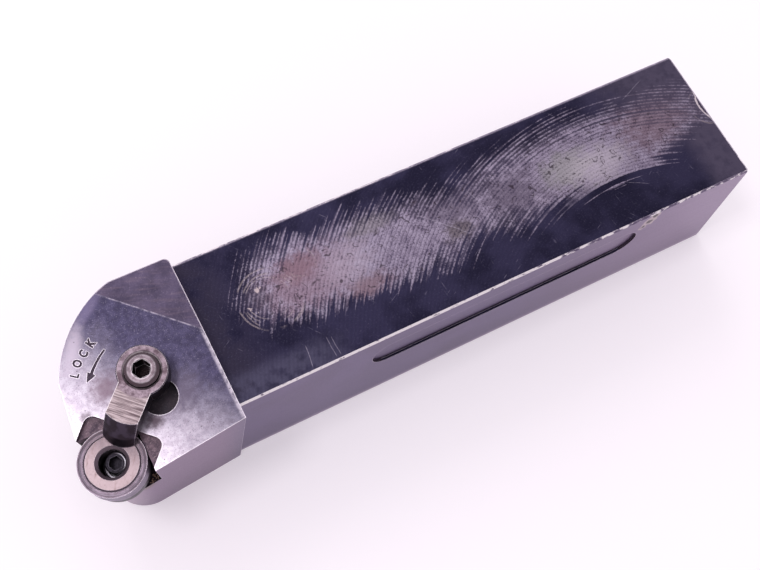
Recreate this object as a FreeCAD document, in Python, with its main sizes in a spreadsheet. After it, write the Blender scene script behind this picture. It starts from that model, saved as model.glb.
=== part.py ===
"""Right-hand turning tool holder for a round insert, with top clamp and lock pin.

Millimetres and degrees. X runs along the shank towards its free end, Z is up and the cutting end
points to -X and -Y. The origin is on the flat underside, on the shank's centreline, where the
shank meets the head. The insert, its seat, the clamp and the screw all lie square to one tilted
plane, the rake plane, which falls towards the cutting corner by the same angle along X and Y.
"""
import FreeCAD, Part
import os
import Sketcher

os.makedirs("parts", exist_ok=True)
doc = FreeCAD.newDocument("TurningToolHolder")
sizes = doc.addObject("Spreadsheet::Sheet", "Sizes")

DRIVING_SIZES = [
    # the square shank
    ("shank_width", 31.75),
    ("shank_height", 31.75),
    ("shank_length", 120.65),
    ("edge_break", 0.4),
    ("end_break", 0.6),
    # where the insert's cutting circle stands from the shank's back side and the head's back face
    ("nose_reach", 31.35),
    ("side_reach", 37.85),
    ("rake_tilt", 7.05),
    # the head above and around the shank
    ("head_rise", 4.45),
    ("head_root", 6.0),
    ("back_corner_round", 1.2),
    ("side_step", 3.35),
    ("far_run", 12.1),
    ("nose_arc_radius", 23.85),
    ("front_top_x", 28.2),
    ("front_top_y", 17.0),
    ("front_setback", 0.15),
    ("flank_setback", 0.05),
    ("flank_lean", 4.0),
    ("front_lean", 5.5),
    ("nose_round", 7.2),
    # the tilted top facet and the pockets milled square to it
    ("facet_height", 0.38),
    ("chip_relief_depth", 1.2),
    ("chip_relief_side", 1.15),
    ("chip_relief_end", 0.5),
    ("chip_relief_round", 1.6),
    ("seat_gap", 0.05),
    ("corner_drill", 3.2),
    ("recess_x", 12.7),
    ("recess_y", 7.15),
    ("recess_radius", 3.4),
    ("recess_depth", 2.0),
    # insert and the seat under it
    ("insert_diameter", 12.7),
    ("insert_thickness", 4.76),
    ("insert_bore", 5.16),
    ("bore_chamfer", 0.62),
    ("land_diameter", 9.9),
    ("groove_depth", 0.28),
    ("groove_wall", 0.3),
    ("edge_drop", 0.06),
    ("edge_land", 0.22),
    ("groove_rise", 0.42),
    ("seat_thickness", 4.76),
    ("seat_diameter", 12.1),
    ("seat_bore", 6.0),
    ("seat_chamfer", 0.3),
    # eccentric lock pin
    ("pin_shank_diameter", 5.0),
    ("pin_head_diameter", 4.06),
    ("pin_throw", 0.28),
    ("pin_bias", 0.22),
    ("pin_side", -0.1),
    ("pin_sink", 1.2),
    ("pin_depth", 12.0),
    ("pin_socket", 2.38),
    ("pin_socket_depth", 2.4),
    ("pin_chamfer", 0.25),
    ("pin_shoulder_gap", 0.35),
    ("pin_end_gap", 0.6),
    # top clamp and its double-ended screw
    ("clamp_reach", 16.83),
    ("clamp_thickness", 5.0),
    ("clamp_swing", 1.8),
    ("boss_diameter", 9.525),
    ("clamp_break", 0.2),
    ("finger_width", 6.2),
    ("finger_tip", 3.0),
    ("finger_ridge", 4.1),
    ("finger_brow", 6.7),
    ("ridge_height", 2.3),
    ("tip_bulge", 1.2),
    ("ridge_bulge", 1.2),
    ("brow_bulge", 0.8),
    ("finger_relief", 0.7),
    ("tip_pad", 2.4),
    ("screw_diameter", 6.35),
    ("screw_stem_diameter", 4.8),
    ("screw_stand", 1.2),
    ("screw_depth", 14.0),
    ("screw_socket", 3.175),
    ("screw_socket_depth", 4.0),
    ("screw_chamfer", 0.7),
    ("screw_mouth", 0.25),
    ("screw_end_gap", 1.5),
    ("turning_gap", 0.06),
    # the long shallow recess in the near side of the shank
    ("slot_start", 29.6),
    ("slot_length", 64.4),
    ("slot_height", 9.2),
    ("slot_centre", 22.0),
    ("slot_depth", 0.6),
]
for row, (alias, size) in enumerate(DRIVING_SIZES, start=1):
    sizes.set("A%d" % row, alias)
    sizes.set("B%d" % row, str(size))
    sizes.setAlias("B%d" % row, alias)
doc.recompute()

# The insert's top centre. The cutting circle's leading edge stands at the shank's height.
INSERT_X = "(Sizes.insert_diameter / 2 - Sizes.nose_reach)"
INSERT_Y = "(Sizes.shank_width / 2 - Sizes.side_reach + Sizes.insert_diameter / 2)"
FALL = "(sin(Sizes.rake_tilt * 1deg) / sqrt(2))"
INSERT_Z = "(Sizes.shank_height + %s * Sizes.insert_diameter / 2)" % FALL
STACK = "(Sizes.insert_thickness + Sizes.seat_thickness)"
SEAT_WALL = "(Sizes.insert_diameter / 2 + Sizes.seat_gap)"
HEAD_TOP = "(Sizes.shank_height + Sizes.head_rise)"
PAST = "(Sizes.insert_diameter * 2)"
RAKE_AXIS = FreeCAD.Vector(1, -1, 0)


def number(expression):
    """The value of an expression of the sheet's sizes."""
    value = sizes.evalExpression(str(expression))
    return float(getattr(value, "Value", value))


def along_rake(u, v):
    """Point u towards the clamp and v to its left, as X and Y of the rake plane."""
    return ("((%s) - (%s)) / sqrt(2)" % (u, v), "((%s) + (%s)) / sqrt(2)" % (u, v))


def rake_point(u, height):
    """Place of a point u towards the clamp and a height square to the rake plane."""
    flat = "((%s) * cos(Sizes.rake_tilt * 1deg) - (%s) * sin(Sizes.rake_tilt * 1deg)) / sqrt(2)" % (u, height)
    rise = "(%s) * sin(Sizes.rake_tilt * 1deg) + (%s) * cos(Sizes.rake_tilt * 1deg)" % (u, height)
    return (INSERT_X + " + " + flat, INSERT_Y + " + " + flat, INSERT_Z + " + " + rise)


def bind_placement(thing, name, point, tilted):
    """Tie a placement property to a point of three expressions, on the rake plane if tilted."""
    turn = FreeCAD.Rotation(RAKE_AXIS, number("Sizes.rake_tilt")) if tilted else FreeCAD.Rotation()
    setattr(thing, name, FreeCAD.Placement(FreeCAD.Vector(0, 0, 0), turn))
    for axis, expression in zip("xyz", point):
        thing.setExpression(name + ".Base." + axis, expression)
    if tilted:
        thing.setExpression(name + ".Rotation.Angle", "Sizes.rake_tilt * 1deg")


def new_body(label, point, tilted):
    body = doc.addObject("PartDesign::Body", label)
    body.Label = label
    bind_placement(body, "Placement", point, tilted)
    return body


def new_sketch(body, role, name, point=("0", "0", "0"), tilted=False):
    """Sketch on one of the body's own origin planes, shifted to a point."""
    plane = [f for f in body.Origin.OriginFeatures if f.Role == role][0]
    sketch = body.newObject("Sketcher::SketchObject", name)
    sketch.AttachmentSupport = [(plane, "")]
    sketch.MapMode = "FlatFace"
    bind_placement(sketch, "AttachmentOffset", point, tilted)
    return sketch


def pin_corner(sketch, geometry, end, x, y):
    """Hold one point of the sketch at two expressions."""
    for kind, expression in (("DistanceX", x), ("DistanceY", y)):
        index = sketch.addConstraint(Sketcher.Constraint(kind, -1, 1, geometry, end, number(expression)))
        sketch.setExpression("Constraints[%d]" % index, expression)


def draw_loop(sketch, corners, arcs=None):
    """Closed loop through corners; arcs maps a side's index to its radius, bulging outwards."""
    arcs = arcs or {}
    points = [FreeCAD.Vector(number(x), number(y), 0) for x, y in corners]
    area = sum(a.x * b.y - b.x * a.y for a, b in zip(points, points[1:] + points[:1]))
    outward = 1 if area > 0 else -1
    for i, start in enumerate(points):
        end = points[(i + 1) % len(points)]
        side = Part.LineSegment(start, end)
        if i in arcs:
            radius = number(arcs[i])
            chord = end - start
            normal = FreeCAD.Vector(chord.y, -chord.x, 0).normalize() * outward
            sag = radius - (radius ** 2 - (chord.Length / 2) ** 2) ** 0.5
            side = Part.Arc(start, (start + end) * 0.5 + normal * sag, end)
        sketch.addGeometry(side, False)
    ends = []
    for i, start in enumerate(points):
        first = sketch.getPoint(i, 1)
        ends.append((1, 2) if (first - start).Length < 1e-4 else (2, 1))
    for i in range(len(points)):
        after = (i + 1) % len(points)
        sketch.addConstraint(Sketcher.Constraint("Coincident", i, ends[i][1], after, ends[after][0]))
    for i, (x, y) in enumerate(corners):
        pin_corner(sketch, i, ends[i][0], x, y)
    for i, radius in arcs.items():
        index = sketch.addConstraint(Sketcher.Constraint("Radius", i, number(radius)))
        sketch.setExpression("Constraints[%d]" % index, radius)
    doc.recompute()


def draw_circle(sketch, x, y, radius):
    centre = FreeCAD.Vector(number(x), number(y), 0)
    index = sketch.addGeometry(Part.Circle(centre, FreeCAD.Vector(0, 0, 1), number(radius)), False)
    held = sketch.addConstraint(Sketcher.Constraint("Radius", index, number(radius)))
    sketch.setExpression("Constraints[%d]" % held, radius)
    pin_corner(sketch, index, 3, x, y)
    doc.recompute()


def draw_hexagon(sketch, x, y, across):
    """Regular hexagon by its width across the flats."""
    corners = []
    for turn in range(6):
        angle = "%ddeg" % (60 * turn)
        reach = "(%s) / sqrt(3)" % across
        corners.append(("%s + %s * cos(%s)" % (x, reach, angle), "%s + %s * sin(%s)" % (y, reach, angle)))
    draw_loop(sketch, corners)


def extrude(body, kind, sketch, name, length, towards_normal, side_type="One side"):
    """Pad or pocket of a bound length, along the sketch's normal or against it."""
    feature = body.newObject("PartDesign::" + kind, name)
    feature.Profile = sketch
    feature.SideType = side_type
    feature.setExpression("Length", length)
    feature.Reversed = towards_normal if kind == "Pocket" else not towards_normal
    before = body.Shape.Volume if not body.Shape.isNull() else 0.0
    doc.recompute()
    changed = feature.Shape.Volume - before
    if changed * (1 if kind == "Pad" else -1) <= 0:
        raise RuntimeError(name + " changed nothing")
    return feature


def revolve(body, sketch, name):
    feature = body.newObject("PartDesign::Revolution", name)
    feature.Profile = sketch
    feature.ReferenceAxis = (sketch, ["V_Axis"])
    feature.Angle = 360
    doc.recompute()
    return feature


def loft(body, kind, sketches, name):
    feature = body.newObject("PartDesign::" + kind, name)
    feature.Profile = sketches[0]
    feature.Sections = sketches[1:]
    feature.Ruled = True
    doc.recompute()
    return feature


def edge_names(shape, wanted):
    return ["Edge%d" % (i + 1) for i, edge in enumerate(shape.Edges) if wanted(edge)]


def dress(body, kind, name, wanted, prop, size):
    """Fillet or chamfer on the edges of the tip that match."""
    base = body.Tip
    names = edge_names(base.Shape, wanted)
    if not names:
        raise RuntimeError(name + " found no edge")
    feature = body.newObject("PartDesign::" + kind, name)
    feature.Base = (base, names)
    feature.setExpression(prop, size)
    doc.recompute()
    return feature


def lean_wall(body, name, role, foot_point, turn, lean):
    """Mill one wall of the head so that it leans inwards below its top edge."""
    sketch = new_sketch(body, role, name + "Section", foot_point)
    sketch.AttachmentOffset = FreeCAD.Placement(
        sketch.AttachmentOffset.Base, FreeCAD.Rotation(FreeCAD.Vector(0, 1, 0), number(turn))
    )
    sketch.setExpression("AttachmentOffset.Rotation.Angle", turn)
    foot_x = "tan(%s * 1deg) * %s" % (lean, HEAD_TOP)
    draw_loop(sketch, [("-" + PAST, "0"), (foot_x, "0"), ("0", HEAD_TOP), ("-" + PAST, HEAD_TOP)])
    extrude(body, "Pocket", sketch, name, "Sizes.nose_reach * 4", True, "Symmetric")


# The holder: one steel bar, milled. The head is an outline raised above the shank and leaning
# inwards below its top edges.
holder = new_body("holder_body", ("0", "0", "0"), False)
half_width = "(Sizes.shank_width / 2)"
corner_round = "Sizes.back_corner_round"
back_y = "(-%s - Sizes.side_step)" % half_width
front_x = "(-Sizes.front_top_x)"
front_y = "(Sizes.front_top_y - %s)" % half_width
corner_x = "(Sizes.front_setback - Sizes.nose_reach)"
corner_y = "(%s - Sizes.side_reach + Sizes.flank_setback)" % half_width
outline = new_sketch(holder, "XY_Plane", "HeadOutline")
draw_loop(
    outline,
    [
        ("0", back_y),
        ("0", half_width + " - " + corner_round),
        ("-" + corner_round, half_width),
        ("-Sizes.far_run", half_width),
        (front_x, front_y),
        (corner_x, corner_y),
    ],
    {1: corner_round, 3: "Sizes.nose_arc_radius"},
)
extrude(holder, "Pad", outline, "HeadBlock", HEAD_TOP, True)
flank_turn = "atan((%s - %s) / %s)" % (corner_y, back_y, corner_x)
lean_wall(holder, "FlankWall", "YZ_Plane", (back_y, "0", "0"), flank_turn, "Sizes.flank_lean")
front_turn = "-atan((%s - %s) / (%s - %s))" % (front_x, corner_x, front_y, corner_y)
lean_wall(holder, "FrontWall", "XZ_Plane", (front_x, "0", "-" + front_y), front_turn, "Sizes.front_lean")
head_length = number("Sizes.nose_reach")
dress(
    holder,
    "Fillet",
    "NoseRound",
    lambda e: e.CenterOfMass.x < -0.8 * head_length and e.CenterOfMass.y < -10 and e.BoundBox.ZLength > 20,
    "Radius",
    "Sizes.nose_round",
)

# The shank runs on through the root of the head, then its long edges and its end are broken.
section = new_sketch(holder, "YZ_Plane", "ShankSection", ("0", "0", "-Sizes.head_root"))
draw_loop(
    section,
    [
        ("-" + half_width, "0"),
        (half_width, "0"),
        (half_width, "Sizes.shank_height"),
        ("-" + half_width, "Sizes.shank_height"),
    ],
)
extrude(holder, "Pad", section, "Shank", "Sizes.shank_length + Sizes.head_root", True)
shank_length = number("Sizes.shank_length")
dress(
    holder,
    "Chamfer",
    "LongEdges",
    lambda e: e.BoundBox.XLength > 0.9 * shank_length and e.BoundBox.ZLength < 0.1,
    "Size",
    "Sizes.edge_break",
)
dress(
    holder,
    "Chamfer",
    "EndEdges",
    lambda e: e.BoundBox.XMin > shank_length - 0.01 and e.BoundBox.XLength < 0.01,
    "Size",
    "Sizes.end_break",
)

# Everything milled square to the rake plane: the top facet, the chip relief with its two lobes,
# the square seat pocket with a drilled corner, the clamp's recess and the holes.
facet = new_sketch(holder, "XY_Plane", "FacetPlane", rake_point("0", "Sizes.facet_height"), True)
wide = "Sizes.shank_width * 2"
draw_loop(facet, [("-" + wide, "-" + wide), (wide, "-" + wide), (wide, wide), ("-" + wide, wide)])
extrude(holder, "Pocket", facet, "TopFacet", "Sizes.shank_width", True)

relief = new_sketch(
    holder, "XY_Plane", "ChipReliefPlan", rake_point("0", "Sizes.facet_height - Sizes.chip_relief_depth"), True
)
relief_half = "(Sizes.insert_diameter / 2 + Sizes.chip_relief_side)"
relief_end = "(Sizes.insert_diameter / 2 + Sizes.chip_relief_end)"
relief_round = "Sizes.chip_relief_round"
draw_loop(
    relief,
    [
        along_rake("-" + PAST, "-" + relief_half),
        along_rake(relief_end + " - " + relief_round, "-" + relief_half),
        along_rake(relief_end, "-" + relief_half + " + " + relief_round),
        along_rake(relief_end, relief_half + " - " + relief_round),
        along_rake(relief_end + " - " + relief_round, relief_half),
        along_rake("-" + PAST, relief_half),
    ],
    {1: relief_round, 3: relief_round},
)
extrude(holder, "Pocket", relief, "ChipRelief", "Sizes.shank_width", True)

floor_point = rake_point("0", "-" + STACK)
seat = new_sketch(holder, "XY_Plane", "SeatPlan", floor_point, True)
draw_loop(
    seat, [("-" + PAST, "-" + PAST), (SEAT_WALL, "-" + PAST), (SEAT_WALL, SEAT_WALL), ("-" + PAST, SEAT_WALL)]
)
extrude(holder, "Pocket", seat, "SeatPocket", "Sizes.shank_width", True)

corner = new_sketch(holder, "XY_Plane", "SeatCornerPlan", floor_point, True)
draw_circle(corner, SEAT_WALL, SEAT_WALL, "Sizes.corner_drill / 2")
corner_height = "(%s + Sizes.facet_height - Sizes.chip_relief_depth)" % STACK
extrude(holder, "Pocket", corner, "SeatCorner", corner_height, True)

recess = new_sketch(
    holder, "XY_Plane", "ClampRecessPlan", rake_point("0", "Sizes.facet_height - Sizes.recess_depth"), True
)
draw_circle(recess, "Sizes.recess_x", "Sizes.recess_y", "Sizes.recess_radius")
extrude(holder, "Pocket", recess, "ClampRecess", "Sizes.shank_width", True)

stem_bore = "(Sizes.screw_stem_diameter / 2 + Sizes.turning_gap)"
screw_hole = new_sketch(
    holder,
    "XY_Plane",
    "ScrewHolePlan",
    rake_point("Sizes.clamp_reach", "Sizes.facet_height - Sizes.screw_depth - Sizes.screw_end_gap"),
    True,
)
draw_circle(screw_hole, "0", "0", stem_bore)
extrude(holder, "Pocket", screw_hole, "ScrewHole", "Sizes.shank_width", True)

pin_bore = "(Sizes.pin_shank_diameter / 2 + Sizes.turning_gap)"
pin_hole = new_sketch(
    holder, "XY_Plane", "PinHolePlan", rake_point("0", "-%s - Sizes.pin_depth - Sizes.pin_end_gap" % STACK), True
)
draw_circle(pin_hole, "Sizes.pin_bias", "Sizes.pin_side", pin_bore)
extrude(holder, "Pocket", pin_hole, "PinHole", "Sizes.pin_depth + Sizes.pin_end_gap + Sizes.pin_sink", True)

# A long shallow recess with round ends in the near side of the shank.
slot = new_sketch(holder, "XZ_Plane", "SideSlotPlan", ("0", "0", "Sizes.shank_width / 2"))
slot_radius = "(Sizes.slot_height / 2)"
slot_left = "Sizes.slot_start + " + slot_radius
slot_right = "Sizes.slot_start + Sizes.slot_length - " + slot_radius
slot_low = "Sizes.slot_centre - " + slot_radius
slot_high = "Sizes.slot_centre + " + slot_radius
slot_tip = "Sizes.slot_start + Sizes.slot_length"
draw_loop(
    slot,
    [
        (slot_left, slot_low),
        (slot_right, slot_low),
        (slot_tip, "Sizes.slot_centre"),
        (slot_right, slot_high),
        (slot_left, slot_high),
        ("Sizes.slot_start", "Sizes.slot_centre"),
    ],
    {1: slot_radius, 2: slot_radius, 4: slot_radius, 5: slot_radius},
)
extrude(holder, "Pocket", slot, "SideSlot", "Sizes.slot_depth", False)

# The seat under the insert: a plain disc a little smaller than the insert, with broken edges.
shim = new_body("shim_seat", rake_point("0", "-" + STACK), True)
shim_profile = new_sketch(shim, "XZ_Plane", "ShimProfile")
seat_edge = "Sizes.seat_diameter / 2"
seat_top = "Sizes.seat_thickness"
draw_loop(
    shim_profile,
    [
        ("Sizes.seat_bore / 2", "0"),
        (seat_edge + " - Sizes.seat_chamfer", "0"),
        (seat_edge, "Sizes.seat_chamfer"),
        (seat_edge, seat_top),
        ("Sizes.seat_bore / 2", seat_top),
    ],
)
revolve(shim, shim_profile, "ShimDisc")

# The round insert, the same on both faces: a flat land round the bore, a chip groove, a narrow
# cutting edge just below the land.
insert = new_body("insert", rake_point("0", "-Sizes.insert_thickness"), True)
insert_profile = new_sketch(insert, "XZ_Plane", "InsertProfile")
cut_radius = "Sizes.insert_diameter / 2"
bore_radius = "Sizes.insert_bore / 2"
land_radius = "Sizes.land_diameter / 2"
face = [
    (bore_radius, "Sizes.bore_chamfer"),
    (bore_radius + " + Sizes.bore_chamfer", "0"),
    (land_radius, "0"),
    (land_radius + " + Sizes.groove_wall", "Sizes.groove_depth"),
    (cut_radius + " - Sizes.edge_land - Sizes.groove_rise", "Sizes.groove_depth"),
    (cut_radius + " - Sizes.edge_land", "Sizes.edge_drop"),
    (cut_radius, "Sizes.edge_drop"),
]
opposite_face = [(r, "Sizes.insert_thickness - " + z) for r, z in reversed(face)]
draw_loop(insert_profile, face + opposite_face)
revolve(insert, insert_profile, "InsertDisc")

# The lock pin: a round shank in the holder, and an off-centre head that holds the insert back
# against the two walls of its pocket when the pin is turned home.
pin_origin = rake_point("0", "-%s - Sizes.pin_depth" % STACK)
lock_pin = new_body("lock_pin", pin_origin, True)
pin_profile = new_sketch(lock_pin, "XY_Plane", "PinShankPlan")
draw_circle(pin_profile, "Sizes.pin_bias", "Sizes.pin_side", "Sizes.pin_shank_diameter / 2")
pin_shank_length = "Sizes.pin_depth + Sizes.seat_thickness - Sizes.pin_shoulder_gap"
extrude(lock_pin, "Pad", pin_profile, "PinShank", pin_shank_length, True)
dress(
    lock_pin,
    "Chamfer",
    "PinFoot",
    lambda e: e.BoundBox.ZMax < 0.01,
    "Size",
    "Sizes.pin_chamfer * 2",
)
head_x = "Sizes.pin_bias + Sizes.pin_throw"
pin_head = new_sketch(lock_pin, "XY_Plane", "PinHeadPlan", ("0", "0", pin_shank_length))
draw_circle(pin_head, head_x, "Sizes.pin_side", "Sizes.pin_head_diameter / 2")
pin_head_length = "Sizes.insert_thickness + Sizes.pin_shoulder_gap - Sizes.pin_sink"
extrude(lock_pin, "Pad", pin_head, "PinHead", pin_head_length, True)
pin_height = number(pin_shank_length) + number(pin_head_length)
dress(
    lock_pin,
    "Chamfer",
    "PinTopEdge",
    lambda e: e.BoundBox.ZMin > pin_height - 0.01,
    "Size",
    "Sizes.pin_chamfer",
)
pin_socket = new_sketch(
    lock_pin, "XY_Plane", "PinSocketPlan", ("0", "0", pin_shank_length + " + " + pin_head_length)
)
draw_hexagon(pin_socket, head_x, "Sizes.pin_side", "Sizes.pin_socket")
extrude(lock_pin, "Pocket", pin_socket, "PinSocket", "Sizes.pin_socket_depth", False)

# The clamp: a round boss on the screw and a finger whose face falls in two slopes, with a ridge
# between them, to a rounded tip on the insert's land. Its frame has X towards the insert.
clamp_point = rake_point("Sizes.clamp_reach", "0")
clamp = new_body("clamp", clamp_point, True)
clamp_top = "(Sizes.facet_height + Sizes.clamp_thickness)"


def toward_insert(u, v):
    """Point u from the clamp's axis along the finger and v to its left, as X and Y of the clamp."""
    heading = "(225 - Sizes.clamp_swing) * 1deg"
    return (
        "(%s) * cos(%s) - (%s) * sin(%s)" % (u, heading, v, heading),
        "(%s) * sin(%s) + (%s) * cos(%s)" % (u, heading, v, heading),
    )


def finger_section(name, height, reach, bulge):
    """Plan of the finger at one height, with a nose that bulges towards the insert."""
    half = "(Sizes.finger_width / 2)"
    tip = "(Sizes.clamp_reach - (%s))" % reach
    shoulder = "(%s - (%s))" % (tip, bulge)
    radius = "((%s ^ 2 + (%s) ^ 2) / (2 * (%s)))" % (half, bulge, bulge)
    sketch = new_sketch(clamp, "XY_Plane", name, ("0", "0", height))
    draw_loop(
        sketch,
        [
            toward_insert("0", "-" + half),
            toward_insert(shoulder, "-" + half),
            toward_insert(shoulder, half),
            toward_insert("0", half),
        ],
        {1: radius},
    )
    return sketch


finger = loft(
    clamp,
    "AdditiveLoft",
    [
        finger_section("FingerTip", "0", "Sizes.finger_tip", "Sizes.tip_bulge"),
        finger_section("FingerRidge", "Sizes.ridge_height", "Sizes.finger_ridge", "Sizes.ridge_bulge"),
        finger_section("FingerBrow", clamp_top, "Sizes.finger_brow", "Sizes.brow_bulge"),
    ],
    "Finger",
)
under = new_sketch(clamp, "XY_Plane", "FingerUndersidePlan")
under_end = "(Sizes.clamp_reach - Sizes.finger_tip - Sizes.tip_pad)"
full = "Sizes.finger_width"
draw_loop(
    under,
    [
        toward_insert("-" + full, "-" + full),
        toward_insert(under_end, "-" + full),
        toward_insert(under_end, full),
        toward_insert("-" + full, full),
    ],
)
extrude(clamp, "Pocket", under, "FingerUnderside", "Sizes.facet_height + Sizes.finger_relief", True)
boss = new_sketch(clamp, "XY_Plane", "BossPlan", ("0", "0", "Sizes.facet_height"))
draw_circle(boss, "0", "0", "Sizes.boss_diameter / 2")
extrude(clamp, "Pad", boss, "Boss", "Sizes.clamp_thickness", True)
screw_bore = new_sketch(clamp, "XY_Plane", "ScrewBorePlan", ("0", "0", clamp_top))
draw_circle(screw_bore, "0", "0", "Sizes.screw_diameter / 2 + Sizes.turning_gap")
extrude(clamp, "Pocket", screw_bore, "ScrewBore", "Sizes.clamp_thickness + Sizes.facet_height", False)
top_height = number(clamp_top)
bore_circle = number("Sizes.screw_diameter / 2 + Sizes.turning_gap")
dress(
    clamp,
    "Chamfer",
    "ScrewBoreMouth",
    lambda e: e.BoundBox.ZMin > top_height - 0.01 and abs(e.BoundBox.XLength / 2 - bore_circle) < 0.01,
    "Size",
    "Sizes.screw_mouth",
)

dress(
    clamp,
    "Chamfer",
    "ClampTopEdge",
    lambda e: e.BoundBox.ZMin > top_height - 0.01 and e.BoundBox.DiagonalLength > 3 * bore_circle,
    "Size",
    "Sizes.clamp_break",
)

# The screw that pulls the clamp down: the thick end turns in the clamp, the stem in the holder.
screw = new_body("clamp_screw", clamp_point, True)
screw_profile = new_sketch(screw, "XZ_Plane", "ScrewProfile")
screw_radius = "Sizes.screw_diameter / 2"
stem_radius = "Sizes.screw_stem_diameter / 2"
screw_top = "(%s + Sizes.screw_stand)" % clamp_top
stem_end = "Sizes.facet_height - Sizes.screw_depth"
thick_end = "Sizes.facet_height + Sizes.screw_mouth"
draw_loop(
    screw_profile,
    [
        ("0", stem_end),
        (stem_radius + " - Sizes.screw_mouth", stem_end),
        (stem_radius, stem_end + " + Sizes.screw_mouth"),
        (stem_radius, thick_end),
        (screw_radius, thick_end + " + " + screw_radius + " - " + stem_radius),
        (screw_radius, screw_top + " - Sizes.screw_chamfer"),
        (screw_radius + " - Sizes.screw_chamfer", screw_top),
        ("0", screw_top),
    ],
)
revolve(screw, screw_profile, "ScrewBlank")
screw_socket = new_sketch(screw, "XY_Plane", "ScrewSocketPlan", ("0", "0", screw_top))
draw_hexagon(screw_socket, "0", "0", "Sizes.screw_socket")
extrude(screw, "Pocket", screw_socket, "ScrewSocket", "Sizes.screw_socket_depth", False)

doc.recompute()
for thing in doc.Objects:
    bad = [state for state in thing.State if state in ("Invalid", "Error")]
    if bad:
        raise RuntimeError(thing.Label + ": " + ", ".join(bad))
pieces = [holder, shim, insert, lock_pin, clamp, screw]
for piece in pieces:
    if piece.Shape.isNull() or not piece.Shape.isValid() or len(piece.Shape.Solids) != 1:
        raise RuntimeError(piece.Label + " is not one valid solid")
for piece in pieces:
    piece.Shape.exportStep("parts/" + piece.Label + ".step")
    print(piece.Label, "volume", round(piece.Shape.Volume, 2), "mm3")
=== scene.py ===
import math

import bmesh
import bpy
from mathutils import Matrix, Vector


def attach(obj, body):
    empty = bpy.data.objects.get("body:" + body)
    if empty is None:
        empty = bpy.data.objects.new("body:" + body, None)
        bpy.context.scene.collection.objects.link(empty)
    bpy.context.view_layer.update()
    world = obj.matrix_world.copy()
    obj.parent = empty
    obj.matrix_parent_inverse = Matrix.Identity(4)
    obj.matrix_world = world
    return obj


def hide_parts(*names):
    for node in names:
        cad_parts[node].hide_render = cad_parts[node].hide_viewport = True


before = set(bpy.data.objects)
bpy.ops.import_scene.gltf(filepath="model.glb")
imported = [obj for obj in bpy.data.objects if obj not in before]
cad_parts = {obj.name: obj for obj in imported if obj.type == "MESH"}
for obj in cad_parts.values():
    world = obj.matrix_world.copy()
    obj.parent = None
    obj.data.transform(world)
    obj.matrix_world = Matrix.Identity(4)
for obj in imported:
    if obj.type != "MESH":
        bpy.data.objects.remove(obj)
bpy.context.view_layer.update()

scene = bpy.context.scene
scene.view_settings.view_transform = "Standard"

# Camera: hand-held close above the tool, looking down past the long near side.
# Its place and turn come from the shank's straight edges and the head's corners in the photograph.
SENSOR_WIDTH = 36.0
PHOTO_WIDTH_PX = 760
FOCAL_LENGTH_PX = 1176.86
CAMERA_PLACE = (-0.027719, -0.076051, 0.244347)
camera = bpy.data.objects.new("camera", bpy.data.cameras.new("camera"))
camera.data.sensor_width = SENSOR_WIDTH
camera.data.lens = SENSOR_WIDTH * FOCAL_LENGTH_PX / PHOTO_WIDTH_PX
camera.data.clip_start = 0.01
camera_turn = Matrix(
    ((0.878268, 0.393099, -0.272245), (-0.466064, 0.831038, -0.30358), (0.106909, 0.393509, 0.913084))
)
camera.matrix_world = Matrix.Translation(CAMERA_PLACE) @ camera_turn.to_4x4()
scene.collection.objects.link(camera)
scene.camera = camera


# Floor and light: a white sheet under soft daylight, with one broad window above the head end.
# Camera rays get a small extra glow from the floor, so it stays near white and keeps its shadow.
def linear(code):
    """An sRGB hex colour as linear red, green, blue and full opacity."""
    parts = [int(code[i : i + 2], 16) / 255 for i in (0, 2, 4)]
    return tuple(p / 12.92 if p <= 0.04045 else ((p + 0.055) / 1.055) ** 2.4 for p in parts) + (1.0,)


def add(tree, kind, *values, links=None, **settings):
    """Adds a node and gives its first output in use. Its kind is its type, then its mode if it has one.
    Values and other nodes' outputs go to its inputs in use in their order, and links go by name."""
    name, _, mode = kind.partition(" ")
    node = tree.nodes.new(name if name.startswith(("Function", "Geometry")) else "ShaderNode" + name)
    if mode:
        mode_of = {"MapRange": "interpolation_type", "Mapping": "vector_type", "Mix": "data_type"}
        settings[mode_of.get(name, "operation")] = mode
    for setting, value in settings.items():
        setattr(node, setting, value)
    free = [socket for socket in node.inputs if socket.enabled]
    named = [
        (
            next(socket for socket in free if socket.name == label), value
        ) for label, value in (links or {}).items()
    ]
    for socket, value in [*zip(free, values), *named]:
        if isinstance(value, bpy.types.NodeSocket):
            tree.links.new(value, socket)
        else:
            socket.default_value = value
    return next((socket for socket in node.outputs if socket.enabled), None)


def new_material(name):
    """An empty node material and its tree."""
    material = bpy.data.materials.new(name)
    material.use_nodes = True
    material.node_tree.nodes.clear()
    return material, material.node_tree


sheet, tree = new_material("white_sheet")
rays = add(tree, "LightPath").node.outputs
seen = add(tree, "Math MAXIMUM", rays["Is Camera Ray"], rays["Is Glossy Ray"])
cloth = add(tree, "BsdfDiffuse", links={"Color": linear("E0D9DF")})
FLOOR_GLOW = 0.30
glow_level = add(tree, "Math MULTIPLY", seen, FLOOR_GLOW)
glow = add(tree, "Emission", links={"Color": linear("FFF8FE"), "Strength": glow_level})
both = add(tree, "AddShader", cloth, glow)
add(tree, "OutputMaterial", links={"Surface": both})
FLOOR_WIDTH = 40.0
bpy.ops.mesh.primitive_plane_add(size=FLOOR_WIDTH)
floor = bpy.context.object
floor.name = "floor"
floor.data.materials.append(sheet)

world = bpy.data.worlds.new("daylight")
world.use_nodes = True
scene.world = world
world.node_tree.nodes["Background"].inputs["Color"].default_value = linear("FDFAFF")
world.node_tree.nodes["Background"].inputs["Strength"].default_value = 0.8

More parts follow.
